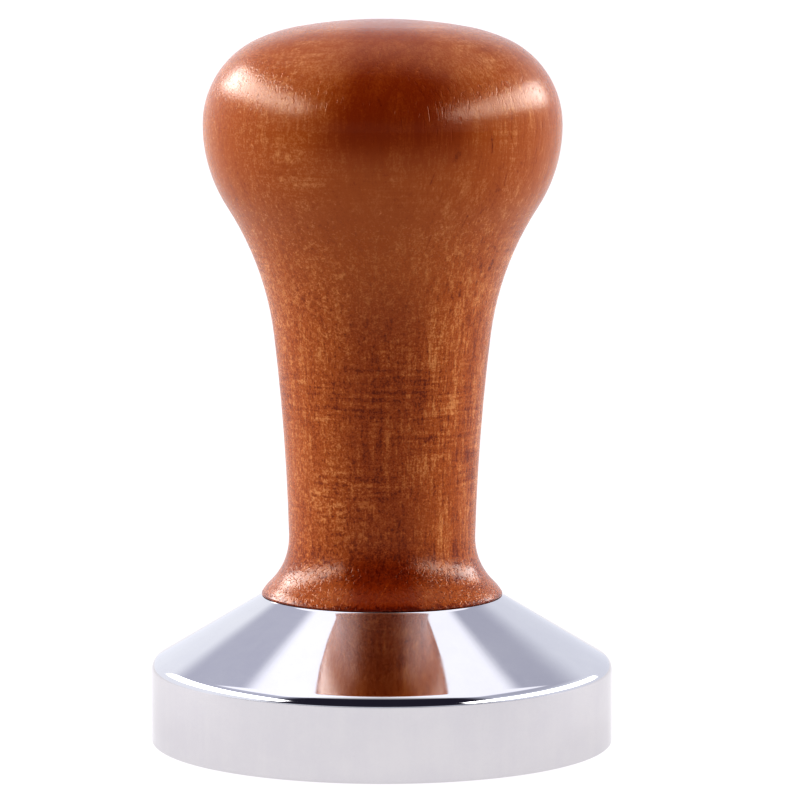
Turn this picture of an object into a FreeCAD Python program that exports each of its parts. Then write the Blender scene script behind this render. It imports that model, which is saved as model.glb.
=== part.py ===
import FreeCAD, Part
import math
import os

# Espresso tamper for 58 mm filter baskets, in millimetres: a turned wooden handle screwed onto a solid
# polished steel base. The origin is the centre of the tamping face, and +Z runs up the handle.
#
# Four pieces come apart on a bench: the base, a socket set screw that joins the two halves, a knurled
# brass insert in the handle's foot, and the handle. Screw threads are plain cylinders here, the male
# one at its major diameter and each female one a running clearance wider.

Vector = FreeCAD.Vector

# The base: a cylinder that fits the basket, a rounded lip, then a cone up to a narrow ledge.
BASE_RADIUS = 29.0
BASE_HEIGHT = 18.5
BASE_EDGE = 0.3
LIP_RADIUS = 1.7
CONE_ANGLE = 31.0
LEDGE_RADIUS = 15.25
LEDGE_EDGE = 0.15

# The joint between the halves: an M8 socket set screw, 25 mm long, 10 mm of it in the base.
THREAD_DIAMETER = 8.0
THREAD_CLEARANCE = 0.05
STUD_LENGTH = 25.0
STUD_IN_BASE = 10.0
STUD_CHAMFER = 0.8
SOCKET_ACROSS_FLATS = 4.0
SOCKET_DEPTH = 4.0
TAP_DRILL_DIAMETER = 6.8
THREAD_DEPTH = 10.5
TAP_DRILL_DEPTH = 12.5
COUNTERSINK = 0.5
DRILL_POINT_ANGLE = 118.0

# The brass insert: two bands of straight knurl with a groove between them, pressed into the handle.
INSERT_LENGTH = 18.0
INSERT_RECESS = 0.2
INSERT_CORE_RADIUS = 5.6
KNURL_TIP_RADIUS = 6.2
KNURL_ROOT_RADIUS = 5.85
KNURL_TEETH = 36
KNURL_BAND = 7.0
INSERT_LEAD = 0.8

# The handle: its outline is a chain of arcs, each tangent to the last, from the foot's lower edge to the
# crown. Each row is a radius and a turn in degrees, where a left turn is convex and a right turn concave.
FOOT_RADIUS = 15.13
HANDLE_ARCS = (
    (0.22, 121.0),   # lower edge of the foot
    (5.9, 15.2),     # rim of the foot
    (7.9, -47.7),    # flare into the waist
    (270.0, -5.4),   # long taper of the neck
    (37.5, -26.1),   # hollow under the head
    (18.8, 33.0),    # underside of the head
    (11.65, 66.3),   # shoulder
    (21.9, 13.5),    # shoulder into the crown
)
CROWN_HEADING = 180.0
INSERT_BORE_RADIUS = 6.0
INSERT_BORE_DEPTH = 19.5
INSERT_BORE_CHAMFER = 0.5


def at(radius, height):
    """A point of an outline, in the XZ plane."""
    return Vector(radius, 0, height)


def line(start, end):
    return Part.LineSegment(start, end).toShape()


def lines(points):
    return [line(start, end) for start, end in zip(points, points[1:])]


def tangent_arc(start, heading, radius, turn):
    """An arc that leaves start along heading and turns by turn degrees, with its end and end heading."""
    side = math.copysign(radius, turn)

    def from_centre(angle):
        """The way from the arc's centre to the point where the arc runs along angle."""
        angle = math.radians(angle)
        return at(side * math.sin(angle), -side * math.cos(angle))

    centre = start - from_centre(heading)
    middle = centre + from_centre(heading + turn / 2)
    end = centre + from_centre(heading + turn)
    return Part.Arc(start, middle, end).toShape(), end, heading + turn


def turned(edges):
    """The solid that a closed outline sweeps round the Z axis."""
    face = Part.Face(Part.Wire(edges))
    return Part.Solid(face.revolve(Vector(0, 0, 0), Vector(0, 0, 1), 360))


def drill_point(radius):
    """Height of the cone that a drill leaves at the end of a blind hole."""
    return radius / math.tan(math.radians(DRILL_POINT_ANGLE / 2))


def tamper_base():
    """Solid base with a tapped blind hole in its top."""
    slope = math.radians(CONE_ANGLE)
    cone_top = at(LEDGE_RADIUS, BASE_HEIGHT - LEDGE_EDGE)
    lip_centre_radius = BASE_RADIUS - LIP_RADIUS
    lip_start_radius = lip_centre_radius + LIP_RADIUS * math.sin(slope)
    cone_drop = (lip_start_radius - LEDGE_RADIUS) * math.tan(slope)
    lip_start = at(lip_start_radius, cone_top.z - cone_drop)
    rim_top = at(BASE_RADIUS, lip_start.z - LIP_RADIUS * math.cos(slope))
    lip, _, _ = tangent_arc(rim_top, 90, LIP_RADIUS, 90 - CONE_ANGLE)

    thread_radius = THREAD_DIAMETER / 2 + THREAD_CLEARANCE
    drill_radius = TAP_DRILL_DIAMETER / 2
    thread_end = BASE_HEIGHT - THREAD_DEPTH
    drill_end = BASE_HEIGHT - TAP_DRILL_DEPTH
    outside = lines([
        at(0, 0),
        at(BASE_RADIUS - BASE_EDGE, 0),
        at(BASE_RADIUS, BASE_EDGE),
        rim_top,
    ])
    top_and_hole = lines([
        lip_start,
        cone_top,
        at(LEDGE_RADIUS - LEDGE_EDGE, BASE_HEIGHT),
        at(thread_radius + COUNTERSINK, BASE_HEIGHT),
        at(thread_radius, BASE_HEIGHT - COUNTERSINK),
        at(thread_radius, thread_end),
        at(drill_radius, thread_end - (thread_radius - drill_radius)),
        at(drill_radius, drill_end),
        at(0, drill_end - drill_point(drill_radius)),
        at(0, 0),
    ])
    return turned(outside + [lip] + top_and_hole)


def hexagon(across_flats, height):
    corner = across_flats / math.sqrt(3)
    points = [
        Vector(corner * math.cos(math.radians(60 * i)), corner * math.sin(math.radians(60 * i)), height)
        for i in range(7)
    ]
    return Part.Face(Part.makePolygon(points))


def joining_stud():
    """Socket set screw with chamfered ends, its hexagon socket at the upper end."""
    radius = THREAD_DIAMETER / 2
    bottom = BASE_HEIGHT - STUD_IN_BASE
    top = bottom + STUD_LENGTH
    rod = turned(lines([
        at(0, bottom),
        at(radius - STUD_CHAMFER, bottom),
        at(radius, bottom + STUD_CHAMFER),
        at(radius, top - STUD_CHAMFER),
        at(radius - STUD_CHAMFER, top),
        at(0, top),
        at(0, bottom),
    ]))
    floor = top - SOCKET_DEPTH
    socket = hexagon(SOCKET_ACROSS_FLATS, floor).extrude(Vector(0, 0, SOCKET_DEPTH))
    point_radius = SOCKET_ACROSS_FLATS / 2
    point_height = drill_point(point_radius)
    point = Part.makeCone(0, point_radius, point_height, Vector(0, 0, floor - point_height))
    return rod.cut(socket.fuse(point))


def knurl_band(bottom):
    """A ring of straight V teeth."""
    points = []
    for tooth in range(2 * KNURL_TEETH):
        radius = KNURL_ROOT_RADIUS if tooth % 2 else KNURL_TIP_RADIUS
        angle = math.pi * tooth / KNURL_TEETH
        points.append(Vector(radius * math.cos(angle), radius * math.sin(angle), bottom))
    points.append(points[0])
    return Part.Face(Part.makePolygon(points)).extrude(Vector(0, 0, KNURL_BAND))


def threaded_insert():
    """Knurled brass insert with a through bore for the set screw."""
    bottom = BASE_HEIGHT + INSERT_RECESS
    top = bottom + INSERT_LENGTH
    core = turned(lines([
        at(0, bottom),
        at(INSERT_CORE_RADIUS, bottom),
        at(INSERT_CORE_RADIUS, top - INSERT_LEAD),
        at(INSERT_CORE_RADIUS - INSERT_LEAD, top),
        at(0, top),
        at(0, bottom),
    ]))
    bore_radius = THREAD_DIAMETER / 2 + THREAD_CLEARANCE
    bore = turned(lines([
        at(0, bottom),
        at(bore_radius + COUNTERSINK, bottom),
        at(bore_radius, bottom + COUNTERSINK),
        at(bore_radius, top - COUNTERSINK),
        at(bore_radius + COUNTERSINK, top),
        at(0, top),
        at(0, bottom),
    ]))
    lower_band = knurl_band(bottom + INSERT_LEAD)
    upper_band = knurl_band(top - 2 * INSERT_LEAD - KNURL_BAND)
    return core.fuse([lower_band, upper_band]).cut(bore)


def wood_handle():
    """Turned handle with a blind bore in its foot for the insert."""
    bore_top = BASE_HEIGHT + INSERT_BORE_DEPTH
    bore_tip = at(0, bore_top + drill_point(INSERT_BORE_RADIUS))
    point = at(FOOT_RADIUS - HANDLE_ARCS[0][0], BASE_HEIGHT)
    edges = lines([
        bore_tip,
        at(INSERT_BORE_RADIUS, bore_top),
        at(INSERT_BORE_RADIUS, BASE_HEIGHT + INSERT_BORE_CHAMFER),
        at(INSERT_BORE_RADIUS + INSERT_BORE_CHAMFER, BASE_HEIGHT),
        point,
    ])
    heading = 0.0
    for radius, turn in HANDLE_ARCS:
        edge, point, heading = tangent_arc(point, heading, radius, turn)
        edges.append(edge)
    # The crown's arc is centred on the axis, so that the handle's top is level there.
    crown_turn = CROWN_HEADING - heading
    crown_radius = point.x / math.sin(math.radians(crown_turn))
    crown, top, _ = tangent_arc(point, heading, crown_radius, crown_turn)
    edges.append(crown)
    edges.append(line(top, bore_tip))
    print(f"crown radius {crown_radius:.2f} mm, height {top.z:.2f} mm")
    return turned(edges)


def main():
    os.makedirs("parts", exist_ok=True)
    for make in (tamper_base, joining_stud, threaded_insert, wood_handle):
        shape = make()
        shape.exportStep(f"parts/{make.__name__}.step")
        volume = shape.Volume / 1000
        print(f"{make.__name__}: {volume:.2f} cm3, {len(shape.Solids)} solid, valid {shape.isValid()}")


main()
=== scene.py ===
import math

import bmesh
import bpy
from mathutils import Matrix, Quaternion, Vector


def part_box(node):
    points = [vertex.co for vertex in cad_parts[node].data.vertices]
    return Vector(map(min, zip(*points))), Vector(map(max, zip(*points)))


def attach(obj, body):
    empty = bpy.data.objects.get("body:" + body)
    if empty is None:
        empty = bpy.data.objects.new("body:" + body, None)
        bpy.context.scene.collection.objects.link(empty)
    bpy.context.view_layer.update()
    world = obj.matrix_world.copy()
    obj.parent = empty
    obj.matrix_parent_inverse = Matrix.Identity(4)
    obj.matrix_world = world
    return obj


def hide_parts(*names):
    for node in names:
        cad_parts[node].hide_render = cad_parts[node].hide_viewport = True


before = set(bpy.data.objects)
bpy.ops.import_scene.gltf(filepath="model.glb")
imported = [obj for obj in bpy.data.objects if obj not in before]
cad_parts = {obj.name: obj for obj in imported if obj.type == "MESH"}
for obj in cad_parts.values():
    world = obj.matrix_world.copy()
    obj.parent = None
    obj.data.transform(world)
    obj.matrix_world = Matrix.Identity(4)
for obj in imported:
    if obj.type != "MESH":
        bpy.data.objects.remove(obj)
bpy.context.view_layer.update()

# The camera, in metres and degrees, with its lens in millimetres. Pitch is downwards and yaw to the right.
CAMERA_DISTANCE = 0.529
CAMERA_HEIGHT = 0.1007
CAMERA_PITCH = 6.22
CAMERA_YAW = 0.24
CAMERA_ROLL = 0.1
CAMERA_LENS = 191.3
CAMERA_NEAR = 0.01
CAMERA_FAR = 200.0

FLOOR_SIZE = 60.0
FLOOR_COLOUR = (0.12, 0.12, 0.12, 1)
FLOOR_GLOW = 0.61
FLOOR_GLOW_COLOUR = (1.0, 0.975, 1.01, 1)
# Where the floor's glow changes: an axis, two places on it in metres, and a share of the glow at each. It
# is brighter beside the object, above all on the left, and dimmer behind it and towards the camera.
FLOOR_GLOW_STEPS = (
    ("Y", -0.06, 0.02, 1.0, 1.13),
    ("Y", 0.03, 0.15, 1.0, 0.89),
    ("X", 0.0, -0.07, 1.0, 1.04),
    ("Y", -0.36, -0.09, 0.0, 1.0),
)

# The room: pale sweeps near the horizon and grey flags above them, on the object's left and right, with the
# two elevations in degrees between which a sweep gives way to its flag.
LEFT_SWEEP = (0.82, 0.84, 0.91, 1)
LEFT_FLAG = (0.515, 0.525, 0.62, 1)
LEFT_FADE = (23, 32)
RIGHT_SWEEP = (0.71, 0.73, 0.81, 1)
RIGHT_FLAG = (0.465, 0.475, 0.56, 1)
RIGHT_FADE = (26, 41)
# The X of the rays between which the left gives way to the right.
SIDE_FADE = (-0.3, 0.3)
# The unlit part of the room, behind the camera. It fades in from one azimuth to another and from one
# elevation to another, in degrees.
DARK_ROOM = (0.035, 0.032, 0.05, 1)
DARK_AZIMUTHS = (66, 48)
DARK_ELEVATIONS = (0, 9)
# Each softbox is (azimuth, elevation, half width, half height, side edge, top edge, strength). The angles
# are in degrees, and the sizes and soft edges are tangents of the angles that they fill.
SOFTBOXES = (
    (180, 83, 0.77, 0.49, 0.06, 0.06, 0.50),
    (-97, 28, 0.88, 0.14, 0.15, 0.05, 8.0),
    (90, 21, 1.0, 0.13, 0.12, 0.04, 6.4),
)

# The wood's stain, from its darkest fleck to its lightest streak.
WOOD_DEEP = (0.155, 0.021, 0.0017, 1)
WOOD_MIDDLE = (0.322, 0.077, 0.0095, 1)
WOOD_LIGHT = (0.525, 0.224, 0.080, 1)
# What the painted shade, a darker and redder band down the middle of the front and the back, multiplies the
# stain by.
PAINTED_SHADE_TINT = (0.63, 0.37, 0.13, 1)
# The lacquer's gloss, which the stain tints.
LACQUER_LEVEL = 0.34
LACQUER_TINT = (1.0, 0.90, 0.80, 1)
# How deep the grain is in the lacquer, in metres.
GRAIN_DEPTH = 0.00003
# The pith that the growth rings go round, beside the handle, and the rings' width, in millimetres.
PITH = (-52.0, 34.0, 0.0)
RING_WIDTH = 3.1
# The middle of the band of painted shade, as a share of the handle's radius to the right of the axis. Nearer
# the axis than the radius below, in millimetres, as on the crown, the band narrows no more.
SHADE_BAND_MIDDLE = 0.04
SHADE_BAND_RADIUS = 11.0
# Fine marks in the front of the handle, and painted glints: two ends, as X and Z in millimetres, a width,
# and how much lighter the wood is there. Most are darker marks in the wood; the lighter lines low on the
# foot's flare are painted glints of its highlight.
MARKS_AND_GLINTS = (
    ((6.3, 72.7), (5.7, 71.2), 0.14, -0.30),
    ((7.2, 70.1), (6.8, 69.0), 0.14, -0.25),
    ((15.1, 72.7), (14.7, 70.8), 0.14, -0.25),
    ((10.3, 67.3), (9.4, 65.4), 0.14, -0.25),
    ((5.9, 64.8), (5.2, 63.0), 0.14, -0.25),
    ((9.2, 75.0), (8.6, 74.0), 0.50, -0.22),
    ((3.9, 83.4), (5.1, 81.6), 0.16, -0.20),
    ((6.3, 82.5), (6.9, 81.6), 0.16, -0.20),
    ((-0.6, 81.7), (-0.2, 80.7), 0.20, -0.25),
    ((22.0, 79.8), (22.2, 76.9), 0.10, -0.32),
    ((22.2, 76.9), (22.1, 73.7), 0.10, -0.32),
    ((13.1, 76.9), (13.2, 75.0), 0.18, -0.25),
    ((15.4, 77.1), (16.0, 75.1), 0.16, -0.20),
    ((5.3, 39.2), (6.2, 39.8), 0.40, -0.40),
    ((7.1, 41.7), (7.1, 35.8), 0.12, -0.25),
    ((8.9, 56.5), (10.0, 54.9), 0.25, 0.12),
    ((10.0, 54.9), (11.9, 56.2), 0.25, 0.12),
    ((-1.0, 49.6), (-1.0, 48.4), 1.10, -0.12),
    ((-1.3, 37.6), (-0.6, 34.5), 1.20, -0.12),
    # Lighter lines on the foot's flare: painted glints of its highlight.
    ((-0.6, 19.7), (1.1, 22.2), 0.16, 0.22),
    ((3.9, 19.5), (5.1, 20.3), 0.16, 0.20),
    ((-6.3, 20.8), (-4.4, 19.4), 0.14, 0.16),
    ((-10.2, 22.5), (-7.8, 24.0), 0.18, 0.25),
    ((-7.8, 24.0), (-6.1, 22.8), 0.18, 0.22),
)

METAL_TINT = (0.90, 0.90, 0.90, 1)

# Sizes of the turned metal pieces, in millimetres, as the CAD part has them.
BASE_RADIUS = 29.0
BASE_EDGE = 0.3
LIP_RADIUS = 1.7
CONE_SLOPE = math.radians(31.0)
LEDGE_RADIUS = 15.25
LEDGE_EDGE = 0.15
THREAD_DEPTH = 10.5
TAP_DRILL_RADIUS = 3.4
TAP_DRILL_DEPTH = 12.5
DRILL_SLOPE = math.tan(math.radians(59.0))
COUNTERSINK = 0.5
STUD_CHAMFER = 0.8
SOCKET_ACROSS_FLATS = 4.0
SOCKET_DEPTH = 4.0
INSERT_CORE_RADIUS = 5.6
KNURL_TIP_RADIUS = 6.2
KNURL_ROOT_RADIUS = 5.85
KNURL_TEETH = 36
KNURL_BAND = 7.0
INSERT_LEAD = 0.8
# Details that the CAD part leaves out: the bevels of the socket and the knurl, and a drill point that is a
# little narrower than the socket.
SOCKET_BEVEL = 0.15
KNURL_EDGE = 0.35
POINT_INSET = 0.02
# The M8 thread, which the CAD part has as a plain cylinder, with the male one's outer radius. The flat of
# the crest is a share of the pitch, and each flank is a share of half the pitch.
THREAD_RADIUS = 4.0
THREAD_CLEARANCE = 0.05
THREAD_HEIGHT = 0.65
PITCH = 1.25
CREST_SHARE = 0.125
FLANK_SHARE = 0.625
ROWS_PER_PITCH = 16
# The countersunk mouth of a threaded hole.
MOUTH_RADIUS = THREAD_RADIUS + THREAD_CLEARANCE + COUNTERSINK
# Points round a piece.
BASE_COLUMNS = 192
STUD_COLUMNS = 96
INSERT_COLUMNS = 4 * KNURL_TEETH
# Steps along the arcs of the base's lower edge and lip, and rings across its tamping face.
EDGE_STEPS = 6
LIP_STEPS = 40
FACE_RADII = (0.0, 10.0, 20.0)
# How far from the ends of a long line its extra rings are, in millimetres.
GUARD = 0.12
# Points this close are joined, in metres, and edges sharper than this look sharp, in degrees.
JOIN_DISTANCE = 1e-6
SHARP_ANGLE = 26


class Graph:
    """Short calls that add nodes to one shader tree. Most return an output socket."""

    def __init__(self, owner):
        owner.use_nodes = True
        self.tree = owner.node_tree
        self.tree.nodes.clear()

    def add(self, kind, inputs=None, output=0, **settings):
        """A node's output, or the node itself where output is None."""
        made = self.tree.nodes.new(kind)
        for name, value in settings.items():
            setattr(made, name, value)
        for key, value in (inputs or {}).items():
            self.put(made.inputs[key], value)
        return made.outputs[output] if output is not None else made

    def put(self, socket, value):
        if isinstance(value, bpy.types.NodeSocket):
            self.tree.links.new(value, socket)
        else:
            socket.default_value = value

    def maths(self, operation, *values):
        return self.add("ShaderNodeMath", dict(enumerate(values)), operation=operation)

    def vectors(self, operation, *values, output="Vector"):
        inputs = dict(enumerate(values))
        return self.add("ShaderNodeVectorMath", inputs, output, operation=operation)

    def parts(self, vector):
        """The X, Y and Z of a vector."""
        return self.add("ShaderNodeSeparateXYZ", {0: vector}, None).outputs

    def dot(self, a, b):
        return self.vectors("DOT_PRODUCT", a, b, output="Value")

    def from_axis(self, point):
        """A point's distance from the Z axis."""
        return self.vectors("LENGTH", self.vectors("MULTIPLY", point, (1.0, 1.0, 0.0)), output="Value")

    def step(self, value, low, high, to_low=0.0, to_high=1.0):
        """A smooth step from to_low where value is at low to to_high where it is at high."""
        inputs = {"Value": value, "From Min": low, "From Max": high, "To Min": to_low, "To Max": to_high}
        return self.add("ShaderNodeMapRange", inputs, interpolation_type="SMOOTHSTEP")

    def noise(self, point, scale, detail=2.0, roughness=0.5, shift=0.0):
        """Noise about 0.5. scale is how many times it varies in a millimetre, along each axis."""
        stretched = self.vectors("MULTIPLY_ADD", point, scale, (shift, shift, shift))
        inputs = {"Vector": stretched, "Scale": 1.0, "Detail": detail, "Roughness": roughness}
        return self.add("ShaderNodeTexNoise", inputs)

    def swing(self, noise):
        """Noise about 0."""
        return self.maths("SUBTRACT", noise, 0.5)

    def total(self, *terms, start=0.0):
        """start plus the sum of value times weight, for pairs of the two."""
        result = start
        for value, weight in terms:
            result = self.maths("MULTIPLY_ADD", value, weight, result)
        return result

    def product(self, *factors):
        result = factors[0]
        for factor in factors[1:]:
            result = self.maths("MULTIPLY", result, factor)
        return result

    def between(self, share, none, full):
        """none where share is 0, full where it is 1, and evenly between them."""
        return self.maths("MULTIPLY_ADD", share, full - none, none)

    def mix(self, factor, a, b, blend="MIX"):
        """A mix of two colours."""
        made = self.add("ShaderNodeMix", output=None, data_type="RGBA", blend_type=blend)
        made.clamp_factor = True
        self.put(made.inputs[0], factor)
        self.put(made.inputs[6], a)
        self.put(made.inputs[7], b)
        return made.outputs[2]

    def finish(self, inputs):
        """The material's shader."""
        shader = self.add("ShaderNodeBsdfPrincipled", inputs)
        self.add("ShaderNodeOutputMaterial", {"Surface": shader}, None)


def direction(azimuth, elevation):
    """A unit vector, with azimuth 0 towards the camera's side of the object and 90 towards +X."""
    a = math.radians(azimuth)
    e = math.radians(elevation)
    return Vector((math.sin(a) * math.cos(e), -math.cos(a) * math.cos(e), math.sin(e)))


def make_camera():
    camera = bpy.data.objects.new("camera", bpy.data.cameras.new("camera"))
    bpy.context.scene.collection.objects.link(camera)
    camera.data.lens = CAMERA_LENS
    camera.data.clip_start = CAMERA_NEAR
    camera.data.clip_end = CAMERA_FAR
    camera.location = (0, -CAMERA_DISTANCE, CAMERA_HEIGHT)
    aim = -direction(-CAMERA_YAW, CAMERA_PITCH)
    roll = Quaternion((0, 0, 1), math.radians(CAMERA_ROLL))
    camera.rotation_mode = "QUATERNION"
    camera.rotation_quaternion = aim.to_track_quat("-Z", "Y") @ roll
    bpy.context.scene.camera = camera


def floor_material():
    """A pale floor that glows softly round the object."""
    material = bpy.data.materials.new("floor")
    g = Graph(material)
    at = g.parts(g.add("ShaderNodeTexCoord", output="Object"))
    steps = [g.step(at[axis], *places_and_shares) for axis, *places_and_shares in FLOOR_GLOW_STEPS]
    g.finish({
        "Base Color": FLOOR_COLOUR,
        "Roughness": 1.0,
        "Specular IOR Level": 0.0,
        "Emission Color": FLOOR_GLOW_COLOUR,
        "Emission Strength": g.product(*steps, FLOOR_GLOW),
    })
    return material


def make_floor():
    half = FLOOR_SIZE / 2
    corners = [(-half, -half, 0), (half, -half, 0), (half, half, 0), (-half, half, 0)]
    mesh = bpy.data.meshes.new("floor")
    mesh.from_pydata(corners, [], [(0, 1, 2, 3)])
    mesh.materials.append(floor_material())
    floor = bpy.data.objects.new("floor", mesh)
    bpy.context.scene.collection.objects.link(floor)


def softbox(g, ray, azimuth, elevation, half_width, half_height, side_edge, top_edge, strength):
    """How bright one soft-edged rectangle of light is along a ray."""
    centre = direction(azimuth, elevation)
    across = direction(azimuth + 90, 0)
    up = centre.cross(across)
    depth = g.dot(ray, tuple(centre))
    # Rays that point away from the softbox don't see it.
    lit = g.step(depth, 0.02, 0.05, 0.0, strength)
    for axis, half, soft in ((across, half_width, side_edge), (up, half_height, top_edge)):
        offset = g.maths("ABSOLUTE", g.maths("DIVIDE", g.dot(ray, tuple(axis)), depth))
        lit = g.product(lit, g.step(offset, half + soft, half - soft))
    return lit


def upwards(g, way, elevations):
    """A smooth step between two elevations, in degrees."""
    low, high = (math.sin(math.radians(elevation)) for elevation in elevations)
    return g.step(way["Z"], low, high)


def dark_zone(g, way):
    """1 towards the room behind the camera, above the horizon, and 0 elsewhere."""
    flat = g.maths("SQRT", g.maths("SUBTRACT", 1.0, g.product(way["Z"], way["Z"])))
    towards_camera = g.maths("DIVIDE", g.product(way["Y"], -1.0), flat)
    outer, inner = (math.cos(math.radians(azimuth)) for azimuth in DARK_AZIMUTHS)
    return g.product(g.step(towards_camera, outer, inner), upwards(g, way, DARK_ELEVATIONS))


def make_studio():
    world = bpy.data.worlds.new("studio")
    bpy.context.scene.world = world
    g = Graph(world)
    ray = g.add("ShaderNodeTexCoord", output="Generated")
    way = g.parts(ray)
    left = g.mix(upwards(g, way, LEFT_FADE), LEFT_SWEEP, LEFT_FLAG)
    right = g.mix(upwards(g, way, RIGHT_FADE), RIGHT_SWEEP, RIGHT_FLAG)
    room = g.mix(g.step(way["X"], *SIDE_FADE), left, right)
    light = g.mix(dark_zone(g, way), room, DARK_ROOM)
    for box in SOFTBOXES:
        glow = softbox(g, ray, *box)
        glow_colour = g.add("ShaderNodeCombineXYZ", {0: glow, 1: glow, 2: glow})
        light = g.vectors("ADD", light, glow_colour)
    background = g.add("ShaderNodeBackground", {"Color": light, "Strength": 1.0})
    g.add("ShaderNodeOutputWorld", {"Surface": background}, None)


def millimetres(g):
    """The point on the object, in millimetres."""
    point = g.add("ShaderNodeTexCoord", output="Object")
    return g.vectors("MULTIPLY", point, (1000.0, 1000.0, 1000.0))


class WoodZones:
    """Where the wood changes over the handle, as values over its surface. x, y and z are in millimetres."""

    def __init__(self, g, point):
        at = g.parts(point)
        self.x = at["X"]
        self.y = at["Y"]
        self.z = at["Z"]
        # Mottled on the left, flecked on the right and rippled in patches.
        patches = g.noise(point, (0.06, 0.06, 0.045))
        self.side = g.total((self.x, 0.035), (patches, 2.2))
        self.flecked = g.step(self.side, 0.75, 1.55)
        self.mottled = g.step(self.side, 1.35, 0.55)
        self.rippled = g.step(g.noise(point, (0.05, 0.05, 0.09), shift=20.0), 0.46, 0.62)
        # 0 down the middle of the front and the back, and about 1 down the sides.
        radius = g.maths("MAXIMUM", g.from_axis(point), SHADE_BAND_RADIUS)
        across = g.maths("DIVIDE", self.x, radius)
        self.from_middle = g.maths("ABSOLUTE", g.maths("SUBTRACT", across, SHADE_BAND_MIDDLE))
        self.foot = g.step(self.z, 25.0, 22.5)


class WoodPatterns:
    """The patterns that the wood's figure is made of."""

    def __init__(self, g, point):
        self.mottle = g.noise(point, (1.5, 1.5, 1.8), 3.0, 0.75)
        curls = g.noise(point, (0.85, 0.85, 1.0), 1.0, shift=31.0)
        self.curl = g.step(g.maths("ABSOLUTE", g.swing(curls)), 0.07, 0.0)
        self.ripple = g.noise(point, (0.14, 0.14, 1.8), 2.0, 0.7, shift=5.0)
        self.fibre = g.noise(point, (3.2, 3.2, 0.26), 3.0, 0.65)
        self.streak = g.noise(point, (0.8, 0.8, 0.05), shift=9.0)
        self.fleck = g.step(g.noise(point, (3.0, 3.0, 0.5), 2.0, 0.45, shift=3.0), 0.56, 0.72)
        self.cloud = g.noise(point, (0.09, 0.09, 0.05), shift=14.0)
        self.grain = g.noise(point, (4.5, 4.5, 4.5), 2.0, 0.7)
        self.pits = g.step(g.noise(point, (1.9, 1.9, 1.9), shift=40.0), 0.51, 0.63)
        self.late_wood = g.step(growth_rings(g, point), 0.72, 0.98)


def growth_rings(g, point):
    """Wavy rings, from 0 to 1 across each."""
    warp = g.noise(point, (0.03, 0.03, 0.012))
    flat = g.vectors("MULTIPLY", g.vectors("SUBTRACT", point, PITH), (1.0, 1.0, 0.06))
    reach = g.vectors("LENGTH", flat, output="Value")
    phase = g.total((reach, 1.0 / RING_WIDTH), (warp, 5.0))
    return g.maths("FRACT", phase)


def mark(g, point, start, end, width):
    """1 on a thin line from start to end, as seen from the front, and 0 beside it."""
    a = Vector((start[0], 0, start[1]))
    along = Vector((end[0], 0, end[1])) - a
    offset = g.vectors("SUBTRACT", point, tuple(a))
    share = g.maths("DIVIDE", g.dot(offset, tuple(along)), along.length_squared)
    share = g.add("ShaderNodeClamp", {"Value": share})
    nearest = g.add("ShaderNodeVectorMath", {0: tuple(along), "Scale": share}, operation="SCALE")
    gap = g.vectors("DISTANCE", offset, nearest, output="Value")
    return g.step(gap, width, 0.0)


def wood_marks_and_glints(g, point, zones):
    """The fine marks, and the painted glints low on the foot, which are only on the front of the handle."""
    seen = g.vectors("MULTIPLY", point, (1.0, 0.0, 1.0))
    marks = g.total(*((mark(g, seen, start, end, width), lighter) for start, end, width, lighter in MARKS_AND_GLINTS))
    return g.product(marks, g.step(zones.y, 1.0, -1.0))


def wood_figure(g, zones, patterns):
    """Fine light and dark figure about 0, stronger in the neck than in the head and the foot."""
    figure = g.total(
        (g.product(g.swing(patterns.mottle), g.between(zones.mottled, 0.5, 1.45)), 1.0),
        (g.product(g.maths("SUBTRACT", patterns.curl, 0.3), zones.mottled), 0.13),
        (g.product(g.swing(patterns.ripple), zones.rippled), 1.25),
        (g.product(g.swing(patterns.fibre), g.between(zones.flecked, 0.4, 0.9)), 1.7),
        (g.product(g.swing(patterns.streak), g.between(zones.flecked, 0.4, 1.0)), 1.1),
        (g.swing(patterns.grain), 1.3),
        (g.product(patterns.fleck, g.between(zones.flecked, 0.2, 1.0)), -0.20),
    )
    head = g.step(zones.z, 76.0, 50.0, 0.47, 0.94)
    side = g.step(zones.side, 1.9, 0.6, 1.02, 1.16)
    # Down the middle of the front and the back the figure is weaker, as part of the painted shade there.
    middle = g.product(g.step(zones.from_middle, 0.75, 0.15), g.step(zones.z, 50.0, 60.0))
    return g.product(figure, head, side, g.between(middle, 1.08, 0.68), g.between(zones.foot, 1.0, 0.6))


def wood_tone(g, point, zones, patterns):
    """How light the stain is, from about 0 at its darkest to about 1 at its lightest."""
    # The wood is darker round the hollow above the foot and along the foot's bottom edge, both with ragged
    # borders.
    ragged = g.total((g.swing(patterns.mottle), 1.6), (zones.z, 1.0))
    hollow = g.product(g.step(ragged, 20.6, 22.4), g.step(ragged, 27.5, 23.4))
    return g.total(
        (wood_figure(g, zones, patterns), 1.0),
        (g.swing(patterns.cloud), 0.36),
        (patterns.late_wood, -0.05),
        (g.step(zones.z, 50.0, 63.0), 0.065),
        (hollow, -0.16),
        (g.step(ragged, 19.4, 18.6), -0.45),
        (zones.foot, -0.05),
        (wood_marks_and_glints(g, point, zones), 1.0),
        start=0.52,
    )


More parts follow.
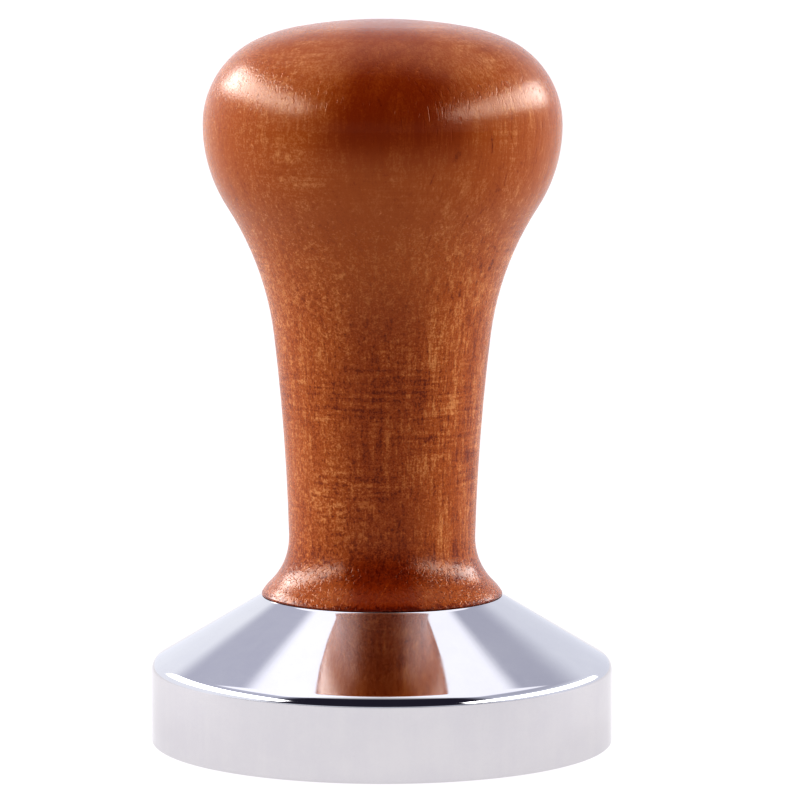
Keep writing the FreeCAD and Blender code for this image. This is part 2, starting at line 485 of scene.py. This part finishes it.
def wood_colour_and_shade(g, zones, patterns, tone):
    """The stain's colour, with painted shade: a darker and redder band down the middle of the front and the
    back.
    """
    dark = g.mix(g.step(tone, 0.0, 0.5), WOOD_DEEP, WOOD_MIDDLE)
    stain = g.mix(g.step(tone, 0.5, 1.05), dark, WOOD_LIGHT)
    # The painted shade: a band down the middle of the front and the back, with cloudy edges.
    band = g.step(g.total((patterns.cloud, 0.3), (zones.from_middle, 1.0)), 0.70, 0.34)
    # How strong the painted shade is: full on the head, none just below it, half on the neck, and full at
    # the foot.
    strength = g.total(
        (g.step(zones.z, 71.0, 78.0), 1.0),
        (g.step(zones.z, 62.0, 53.0), 0.5),
        (g.step(zones.z, 40.0, 28.0), 0.1),
        (g.step(zones.z, 27.0, 22.0), 0.5),
    )
    crown = g.step(zones.z, 88.5, 83.5, 0.6, 1.0)
    return g.mix(g.product(band, strength, crown), stain, PAINTED_SHADE_TINT, "MULTIPLY")


def wood_normal(g, zones, patterns):
    """Open grain under the lacquer. The foot is smoother, with small pits."""
    open_grain = g.total(
        (patterns.fleck, -1.2),
        (patterns.fibre, 0.9),
        (patterns.mottle, 0.6),
        (patterns.grain, 0.9),
    )
    open_grain = g.product(open_grain, g.between(zones.foot, 1.0, 0.3))
    height = g.total((g.product(patterns.pits, zones.foot), -1.3), (open_grain, 1.0))
    strength = g.step(zones.z, 74.0, 58.0, 0.5, 0.65)
    return g.add("ShaderNodeBump", {"Height": height, "Distance": GRAIN_DEPTH, "Strength": strength})


def wood_roughness(g, zones, patterns):
    """The lacquer is cloudy, and duller on the neck than on the head and the foot."""
    return g.total(
        (patterns.mottle, 0.22),
        (patterns.grain, 0.12),
        (g.step(zones.z, 72.0, 60.0), 0.06),
        (zones.foot, -0.06),
        start=0.04,
    )


def wood():
    material = bpy.data.materials.new("stained_wood")
    g = Graph(material)
    point = millimetres(g)
    zones = WoodZones(g, point)
    patterns = WoodPatterns(g, point)
    g.finish({
        "Base Color": wood_colour_and_shade(g, zones, patterns, wood_tone(g, point, zones, patterns)),
        "Roughness": wood_roughness(g, zones, patterns),
        "Specular IOR Level": LACQUER_LEVEL,
        "Specular Tint": LACQUER_TINT,
        "Normal": wood_normal(g, zones, patterns),
    })
    return material


def turning_lines(g, point, per_mm):
    """Fine lines round the axis, as a lathe and polishing leave them, about 0.5."""
    across = g.add("ShaderNodeCombineXYZ", {0: g.from_axis(point), 1: g.parts(point)["Z"]})
    return g.noise(across, (per_mm, per_mm, 0.0), 3.0, 0.7)


def metal(name, dark, bright, smooth, rough, lines_per_mm, line_depth):
    """A turned metal with fine lines round it, cloudy colour and gloss, and faint wipe marks."""
    material = bpy.data.materials.new(name)
    g = Graph(material)
    point = millimetres(g)
    lines = turning_lines(g, point, lines_per_mm)
    cloud = g.noise(point, (0.11, 0.11, 0.16), 3.0, 0.6)
    wipes = g.noise(point, (0.5, 0.5, 0.09), 3.0, 0.6, shift=7.0)
    specks = g.noise(point, (4.0, 4.0, 4.0), 2.0, 0.6, shift=2.0)
    share = g.total((cloud, 0.5), (wipes, 0.3), (specks, 0.2))
    gloss = g.total((wipes, 0.45), (cloud, 0.35), (lines, 0.2))
    g.finish({
        "Base Color": g.mix(g.step(share, 0.36, 0.64), (*dark, 1), (*bright, 1)),
        "Metallic": 1.0,
        "Specular Tint": METAL_TINT,
        "Roughness": g.step(gloss, 0.36, 0.66, smooth, rough),
        "Normal": g.add("ShaderNodeBump", {"Height": lines, "Distance": line_depth, "Strength": 1.0}),
    })
    return material


def dress(node, material):
    """Puts a material on a CAD node that stays in the model."""
    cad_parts[node].material_slots[0].material = material


def heights(node):
    """A CAD node's lowest and highest points, in millimetres."""
    low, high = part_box(node)
    return low.z * 1000, high.z * 1000


def ring(columns, shape):
    """Points round the axis, where shape gives the radius and height at each angle."""
    points = []
    for column in range(columns):
        angle = 2 * math.pi * column / columns
        radius, height = shape(angle)
        points.append((radius * math.cos(angle), radius * math.sin(angle), height))
    return points


def plain_rings(columns, outline):
    """Rings along an outline of radii and heights, with one more close to each end of a long line."""
    rings = [ring(columns, lambda angle: outline[0])]
    for start, end in zip(outline, outline[1:]):
        a = Vector(start)
        b = Vector(end)
        length = (b - a).length
        stops = [GUARD / length, 1 - GUARD / length] if length > 4 * GUARD else []
        for stop in [*stops, 1.0]:
            point = tuple(a.lerp(b, stop))
            rings.append(ring(columns, lambda angle: point))
    return rings


def arc(centre, radius, start, end, steps):
    """Points of an outline's arc between two angles in degrees, 0 outwards and 90 up."""
    points = []
    for i in range(steps + 1):
        angle = math.radians(start + (end - start) * i / steps)
        points.append((centre[0] + radius * math.cos(angle), centre[1] + radius * math.sin(angle)))
    return points


def thread_radius(phase):
    """The male thread's radius where phase is 0 in the middle of its root and 0.5 on its crest."""
    from_crest = abs(2 * (phase % 1.0) - 1)
    share = min(max((from_crest - CREST_SHARE) / FLANK_SHARE, 0.0), 1.0)
    return THREAD_RADIUS - THREAD_HEIGHT * share


def thread_rings(columns, low, high, limit, clearance=0.0):
    """Rings that climb with the thread's helix from low to high, each radius passed through limit."""
    first = math.floor(low / PITCH) - 1
    rows = math.ceil((high / PITCH - first + 1) * ROWS_PER_PITCH)
    rings = []
    for row in range(rows + 1):
        radius = thread_radius(row / ROWS_PER_PITCH) + clearance

        def shape(angle):
            height = PITCH * (first + row / ROWS_PER_PITCH + angle / (2 * math.pi))
            height = min(max(height, low), high)
            return limit(radius, height), height

        rings.append(ring(columns, shape))
    return rings


def skin(name, rings, closed=False):
    """A smooth-shaded mesh through rings in turn, from millimetres. Points that coincide are joined."""
    if closed:
        rings = [*rings, rings[0]]
    mesh = bpy.data.meshes.new(name)
    shape = bmesh.new()
    loops = [[shape.verts.new(Vector(p) / 1000) for p in points] for points in rings]
    for lower, upper in zip(loops, loops[1:]):
        for i in range(len(lower)):
            j = (i + 1) % len(lower)
            shape.faces.new((lower[i], lower[j], upper[j], upper[i]))
    bmesh.ops.remove_doubles(shape, verts=shape.verts, dist=JOIN_DISTANCE)
    bmesh.ops.recalc_face_normals(shape, faces=shape.faces)
    shape.to_mesh(mesh)
    shape.free()
    mesh.shade_smooth()
    mesh.set_sharp_from_angle(angle=math.radians(SHARP_ANGLE))
    piece = bpy.data.objects.new(name, mesh)
    bpy.context.scene.collection.objects.link(piece)
    return piece


def base_outline(low, high):
    """The base's outline from the middle of its tamping face, round its rim and lip, to the hole's mouth."""
    lip_centre = BASE_RADIUS - LIP_RADIUS
    lip_start = lip_centre + LIP_RADIUS * math.sin(CONE_SLOPE)
    cone_top = high - LEDGE_EDGE
    lip_height = cone_top - (lip_start - LEDGE_RADIUS) * math.tan(CONE_SLOPE)
    rim_top = lip_height - LIP_RADIUS * math.cos(CONE_SLOPE)
    edge_centre = (BASE_RADIUS - BASE_EDGE, low + BASE_EDGE)
    cone_normal = 90 - math.degrees(CONE_SLOPE)
    outline = [(radius, low) for radius in FACE_RADII]
    outline += arc(edge_centre, BASE_EDGE, -90, 0, EDGE_STEPS)
    outline += arc((lip_centre, rim_top), LIP_RADIUS, 0, cone_normal, LIP_STEPS)
    outline += [(LEDGE_RADIUS, cone_top), (LEDGE_RADIUS - LEDGE_EDGE, high), (MOUTH_RADIUS, high)]
    return outline


def make_base():
    """The steel base, with its lip and cone, and the tapped hole in its top."""
    low, high = heights("tamper_base")
    drill_end = high - TAP_DRILL_DEPTH
    # From the end of its thread the hole narrows at 45 degrees to the drill's radius.
    hole_low = high - (THREAD_DEPTH + THREAD_RADIUS + THREAD_CLEARANCE - TAP_DRILL_RADIUS)

    def limit(radius, height):
        widest = TAP_DRILL_RADIUS + (height - hole_low)
        return max(min(radius, widest), MOUTH_RADIUS - (high - height))

    hole = thread_rings(BASE_COLUMNS, hole_low, high, limit, THREAD_CLEARANCE)
    bottom = [(TAP_DRILL_RADIUS, hole_low), (TAP_DRILL_RADIUS, drill_end)]
    bottom += [(0.0, drill_end - TAP_DRILL_RADIUS / DRILL_SLOPE)]
    rings = plain_rings(BASE_COLUMNS, base_outline(low, high))
    rings += hole[::-1]
    rings += plain_rings(BASE_COLUMNS, bottom)
    return skin("steel_base", rings)


def make_stud():
    """The socket set screw that joins base and handle, with its real thread."""
    low, high = heights("joining_stud")
    end_radius = THREAD_RADIUS - STUD_CHAMFER
    flat = SOCKET_ACROSS_FLATS / 2
    floor = high - SOCKET_DEPTH

    def limit(radius, height):
        return min(radius, end_radius + min(height - low, high - height))

    def socket(height, wider=0.0):
        return lambda angle: ((flat + wider) / math.cos(angle % (math.pi / 3) - math.pi / 6), height)

    rings = plain_rings(STUD_COLUMNS, [(0.0, low), (end_radius / 2, low), (end_radius, low)])
    rings += thread_rings(STUD_COLUMNS, low, high, limit)
    for shape in (socket(high, SOCKET_BEVEL), socket(high - SOCKET_BEVEL), socket(floor)):
        rings.append(ring(STUD_COLUMNS, shape))
    rings += plain_rings(STUD_COLUMNS, [(flat - POINT_INSET, floor), (0.0, floor - flat / DRILL_SLOPE)])
    return skin("threaded_stud", rings)


def knurl_rings(bottom):
    """One knurled band, from its lower to its upper bevel."""
    top = bottom + KNURL_BAND

    def knurl(height, share):
        def shape(angle):
            tooth = abs((angle * KNURL_TEETH / (2 * math.pi)) % 1.0 - 0.5) * 2
            radius = KNURL_ROOT_RADIUS + (KNURL_TIP_RADIUS - KNURL_ROOT_RADIUS) * tooth
            return INSERT_CORE_RADIUS + (radius - INSERT_CORE_RADIUS) * share, height
        return shape

    steps = ((bottom, 0.0), (bottom + KNURL_EDGE, 1.0), (top - KNURL_EDGE, 1.0), (top, 0.0))
    return [ring(INSERT_COLUMNS, knurl(height, share)) for height, share in steps]


def make_insert():
    """The brass insert, with two knurled bands outside and its thread inside."""
    low, high = heights("threaded_insert")
    lead_start = (INSERT_CORE_RADIUS, high - INSERT_LEAD)
    lead_end = (INSERT_CORE_RADIUS - INSERT_LEAD, high)

    def limit(radius, height):
        return max(radius, MOUTH_RADIUS - min(height - low, high - height))

    rings = plain_rings(INSERT_COLUMNS, [(MOUTH_RADIUS, low), (INSERT_CORE_RADIUS, low)])
    rings += knurl_rings(low + INSERT_LEAD)
    rings += knurl_rings(high - 2 * INSERT_LEAD - KNURL_BAND)
    rings += plain_rings(INSERT_COLUMNS, [lead_start, lead_end, (MOUTH_RADIUS, high)])
    bore = thread_rings(INSERT_COLUMNS, low, high, limit, THREAD_CLEARANCE)
    return skin("knurled_insert", rings + bore[::-1], closed=True)


def place(piece, body, node, material):
    """Puts a finished piece in the model, in place of a CAD node."""
    piece.data.materials.append(material)
    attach(piece, body)
    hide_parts(node)


make_camera()
make_floor()
make_studio()
steel = metal(
    "polished_steel", dark=(0.670, 0.661, 0.675), bright=(0.698, 0.689, 0.693),
    smooth=0.035, rough=0.085, lines_per_mm=5.0, line_depth=2.0e-7,
)
plated = metal(
    "plated_steel", dark=(0.50, 0.51, 0.52), bright=(0.66, 0.66, 0.64),
    smooth=0.20, rough=0.38, lines_per_mm=3.0, line_depth=1.0e-6,
)
brass = metal(
    "brass", dark=(0.62, 0.37, 0.12), bright=(0.78, 0.52, 0.20),
    smooth=0.18, rough=0.36, lines_per_mm=3.0, line_depth=1.0e-6,
)
place(make_base(), "base", "tamper_base", steel)
place(make_stud(), "stud", "joining_stud", plated)
place(make_insert(), "handle", "threaded_insert", brass)
dress("wood_handle", wood())
bpy.context.scene.view_settings.view_transform = "Standard"
bpy.context.scene.view_settings.look = "High Contrast"
